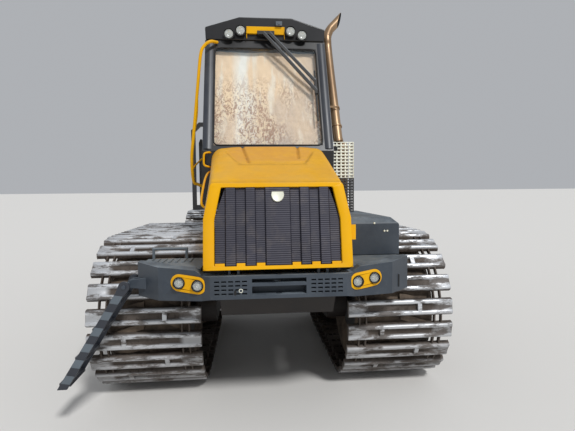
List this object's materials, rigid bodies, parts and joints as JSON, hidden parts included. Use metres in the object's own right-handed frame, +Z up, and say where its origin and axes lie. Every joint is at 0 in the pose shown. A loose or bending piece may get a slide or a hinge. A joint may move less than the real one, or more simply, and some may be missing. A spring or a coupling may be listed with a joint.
{
  "type": "forestry forwarder",
  "caption": "Articulated eight-wheel timber forwarder with steel bogie tracks, cab, log bunk and a slewing grapple crane.",
  "frame": {"origin": "on the ground under the middle of the machine, at the bottom centre of its bounding box", "axes": "+Y along the machine towards the load space, the front bumper at -Y; +Z up; +X to the machine's left"},
  "size_m": [3.253, 9.9, 5.5178],
  "materials": {
    "chassis_paint": "satin dark grey paint with dust",
    "bumper_paint": "satin blue-grey paint",
    "deck_paint": "satin dark grey paint",
    "engine_iron": "painted iron",
    "cab_black": "satin black paint",
    "window_glass": "clear",
    "shade_cloth": "crinkled sun screen",
    "lamp_paint": "yellow bezel",
    "exhaust_steel": "heat-browned steel",
    "guard_steel": "perforated sheet",
    "yellow_paint": "amber-yellow gloss paint",
    "track_steel": "worn steel with rust",
    "grille_black": "satin dark grey",
    "seat_cloth": "woven dark cloth",
    "cylinder_paint": "gloss dark paint",
    "rod_chrome": "polished",
    "frame_black": "worn black paint",
    "link_steel": "greasy cast steel",
    "tyre_rubber": "dusty rubber"
  },
  "bodies": {
    "front": {"front_frame": "chassis_paint", "front_axle": "chassis_paint", "bumper": "bumper_paint", "decks": "deck_paint", "deck_box": "deck_paint", "engine": "engine_iron", "cab_shell": "cab_black", "cab_roof": "cab_black", "cab_glass": "window_glass", "sunshade": "shade_cloth", "lamps": "lamp_paint", "exhaust_pipe": "exhaust_steel", "exhaust_guard": "guard_steel", "handrails": "yellow_paint", "wipers": "cab_black", "track_front_left": "track_steel", "track_front_right": "track_steel"},
    "hood": {"hood_shell": "yellow_paint", "hood_grille": "grille_black"},
    "door": {"cab_door": "cab_black", "door_glass": "window_glass"},
    "driver_seat": {"operator_seat": "seat_cloth"},
    "steps": {"ladder": "bumper_paint"},
    "centre": {"centre_yoke": "chassis_paint"},
    "steer_barrel_l": {"steer_barrel_left": "cylinder_paint"},
    "steer_barrel_r": {"steer_barrel_right": "cylinder_paint"},
    "steer_rod_l": {"steer_rod_left": "rod_chrome"},
    "steer_rod_r": {"steer_rod_right": "rod_chrome"},
    "rear": {"rear_frame": "chassis_paint", "rear_axle": "chassis_paint", "track_rear_left": "track_steel", "track_rear_right": "track_steel", "bunk": "frame_black", "gate": "frame_black", "crane_base": "chassis_paint"},
    "column": {"pillar": "yellow_paint"},
    "boom": {"main_boom": "yellow_paint"},
    "lift_tube": {"lift_barrel": "cylinder_paint"},
    "lift_ram": {"lift_rod": "rod_chrome"},
    "jib": {"outer_boom": "yellow_paint"},
    "jib_tube": {"jib_barrel": "cylinder_paint"},
    "jib_ram": {"jib_rod": "rod_chrome"},
    "boom_end": {"extension": "yellow_paint"},
    "link": {"hanger": "link_steel"},
    "turner": {"rotator": "link_steel"},
    "grapple": {"grapple_frame": "frame_black"},
    "jaw_right": {"jaw_a": "frame_black"},
    "jaw_left": {"jaw_b": "frame_black"},
    "wheel_1_l": {"wheel_1_left": "tyre_rubber"},
    "wheel_1_r": {"wheel_1_right": "tyre_rubber"},
    "wheel_2_l": {"wheel_2_left": "tyre_rubber"},
    "wheel_2_r": {"wheel_2_right": "tyre_rubber"},
    "wheel_3_l": {"wheel_3_left": "tyre_rubber"},
    "wheel_3_r": {"wheel_3_right": "tyre_rubber"},
    "wheel_4_l": {"wheel_4_left": "tyre_rubber"},
    "wheel_4_r": {"wheel_4_right": "tyre_rubber"}
  },
  "joints": [
    {"name": "hood_tilt", "type": "hinge", "parent": "front", "child": "hood", "pos_m": [0, -4.895, 1.275], "axis": [1, 0, 0], "range_deg": [0, 45]},
    {"name": "door_swing", "type": "hinge", "parent": "front", "child": "door", "pos_m": [-0.72, -1.8, 2.6], "axis": [0, 0, -1], "range_deg": [0, 80]},
    {"name": "seat_swivel", "type": "hinge", "parent": "front", "child": "driver_seat", "pos_m": [0, -2.3, 1.9], "axis": [0, 0, 1], "range_deg": [0, 180]},
    {"name": "ladder_fold", "type": "hinge", "parent": "front", "child": "steps", "pos_m": [-1.155, -4.64, 1.137], "axis": [0, 1, 0], "range_deg": [0, 140]},
    {"name": "steer", "type": "hinge", "parent": "front", "child": "centre", "pos_m": [0, -0.45, 1.025], "axis": [0, 0, 1], "range_deg": [-42, 42]},
    {"name": "frame_roll", "type": "hinge", "parent": "centre", "child": "rear", "pos_m": [0, -0.45, 1.025], "axis": [0, 1, 0], "range_deg": [-15, 15]},
    {"name": "steer_barrel_l_turn", "type": "hinge", "parent": "front", "child": "steer_barrel_l", "pos_m": [-0.27, -1.15, 1.025], "axis": [0, 0, 1], "range_deg": [-4, 4]},
    {"name": "steer_rod_l_slide", "type": "slide", "parent": "steer_barrel_l", "child": "steer_rod_l", "axis": [-0.0132, 0.9999, 0], "range_m": [-0.2, 0.2]},
    {"name": "steer_barrel_r_turn", "type": "hinge", "parent": "front", "child": "steer_barrel_r", "pos_m": [0.27, -1.15, 1.025], "axis": [0, 0, 1], "range_deg": [-4, 4]},
    {"name": "steer_rod_r_slide", "type": "slide", "parent": "steer_barrel_r", "child": "steer_rod_r", "axis": [0.0132, 0.9999, 0], "range_m": [-0.2, 0.2]},
    {"name": "slew", "type": "hinge", "parent": "rear", "child": "column", "pos_m": [0, 0.1, 1.9], "axis": [0, 0, 1], "range_deg": [-100, 280]},
    {"name": "boom_lift", "type": "hinge", "parent": "column", "child": "boom", "pos_m": [0, 0.1, 3.6], "axis": [1, 0, 0], "range_deg": [-32, 45]},
    {"name": "lift_tube_turn", "type": "hinge", "parent": "column", "child": "lift_tube", "pos_m": [0, 0.33, 2.15], "axis": [1, 0, 0], "range_deg": [-8, 8]},
    {"name": "lift_ram_slide", "type": "slide", "parent": "lift_tube", "child": "lift_ram", "axis": [0, 0.2214, 0.9752], "range_m": [-0.3, 0.42]},
    {"name": "jib_fold", "type": "hinge", "parent": "boom", "child": "jib", "pos_m": [0, 2.81375, 5.29574], "axis": [-1, 0, 0], "range_deg": [-35, 70]},
    {"name": "jib_tube_turn", "type": "hinge", "parent": "boom", "child": "jib_tube", "pos_m": [0, 1.5258, 4.71498], "axis": [1, 0, 0], "range_deg": [-3, 3]},
    {"name": "jib_ram_slide", "type": "slide", "parent": "jib_tube", "child": "jib_ram", "axis": [0, 0.8295, 0.5585], "range_m": [-0.14, 0.27]},
    {"name": "boom_extend", "type": "slide", "parent": "jib", "child": "boom_end", "axis": [0, 0.9903, -0.1392], "range_m": [0, 1.3]},
    {"name": "hook_swing", "type": "hinge", "parent": "boom_end", "child": "link", "pos_m": [0, 4.69526, 5.03131], "axis": [1, 0, 0], "range_deg": [-45, 45]},
    {"name": "grapple_sway", "type": "hinge", "parent": "link", "child": "turner", "pos_m": [0, 4.69526, 4.88131], "axis": [0, 1, 0], "range_deg": [-30, 30]},
    {"name": "grapple_turn", "type": "hinge", "parent": "turner", "child": "grapple", "pos_m": [0, 4.69526, 4.65131], "axis": [0, 0, 1], "continuous": true},
    {"name": "jaw_open", "type": "hinge", "parent": "grapple", "child": "jaw_right", "pos_m": [0.1, 4.69526, 4.43131], "axis": [0, -1, 0], "range_deg": [0, 50]},
    {"name": "jaw_left_open", "type": "hinge", "parent": "grapple", "child": "jaw_left", "pos_m": [-0.1, 4.69526, 4.43131], "axis": [0, 1, 0], "range_deg": [0, 50]},
    {"name": "spin_1_left", "type": "hinge", "parent": "front", "child": "wheel_1_l", "pos_m": [-1.105, -3.75, 0.7104], "axis": [1, 0, 0], "continuous": true},
    {"name": "spin_1_right", "type": "hinge", "parent": "front", "child": "wheel_1_r", "pos_m": [1.105, -3.75, 0.7104], "axis": [1, 0, 0], "continuous": true},
    {"name": "spin_2_left", "type": "hinge", "parent": "front", "child": "wheel_2_l", "pos_m": [-1.105, -2.25, 0.7104], "axis": [1, 0, 0], "continuous": true},
    {"name": "spin_2_right", "type": "hinge", "parent": "front", "child": "wheel_2_r", "pos_m": [1.105, -2.25, 0.7104], "axis": [1, 0, 0], "continuous": true},
    {"name": "spin_3_left", "type": "hinge", "parent": "rear", "child": "wheel_3_l", "pos_m": [-1.105, 1.35, 0.7104], "axis": [1, 0, 0], "continuous": true},
    {"name": "spin_3_right", "type": "hinge", "parent": "rear", "child": "wheel_3_r", "pos_m": [1.105, 1.35, 0.7104], "axis": [1, 0, 0], "continuous": true},
    {"name": "spin_4_left", "type": "hinge", "parent": "rear", "child": "wheel_4_l", "pos_m": [-1.105, 2.85, 0.7104], "axis": [1, 0, 0], "continuous": true},
    {"name": "spin_4_right", "type": "hinge", "parent": "rear", "child": "wheel_4_r", "pos_m": [1.105, 2.85, 0.7104], "axis": [1, 0, 0], "continuous": true}
  ],
  "couplings": [
    {"joint": "steer_barrel_l_turn", "follows": "steer", "ratio": 0.078},
    {"joint": "steer_barrel_r_turn", "follows": "steer", "ratio": 0.078},
    {"joint": "steer_rod_l_slide", "follows": "steer", "m_per_rad": -0.2596},
    {"joint": "steer_rod_r_slide", "follows": "steer", "m_per_rad": 0.2596},
    {"joint": "lift_tube_turn", "follows": "boom_lift", "ratio": 0.163},
    {"joint": "lift_ram_slide", "follows": "boom_lift", "m_per_rad": 0.4973},
    {"joint": "jib_tube_turn", "follows": "jib_fold", "ratio": -0.023},
    {"joint": "jib_ram_slide", "follows": "jib_fold", "m_per_rad": 0.2143},
    {"joint": "jaw_left_open", "follows": "jaw_open", "ratio": 1}
  ]
}
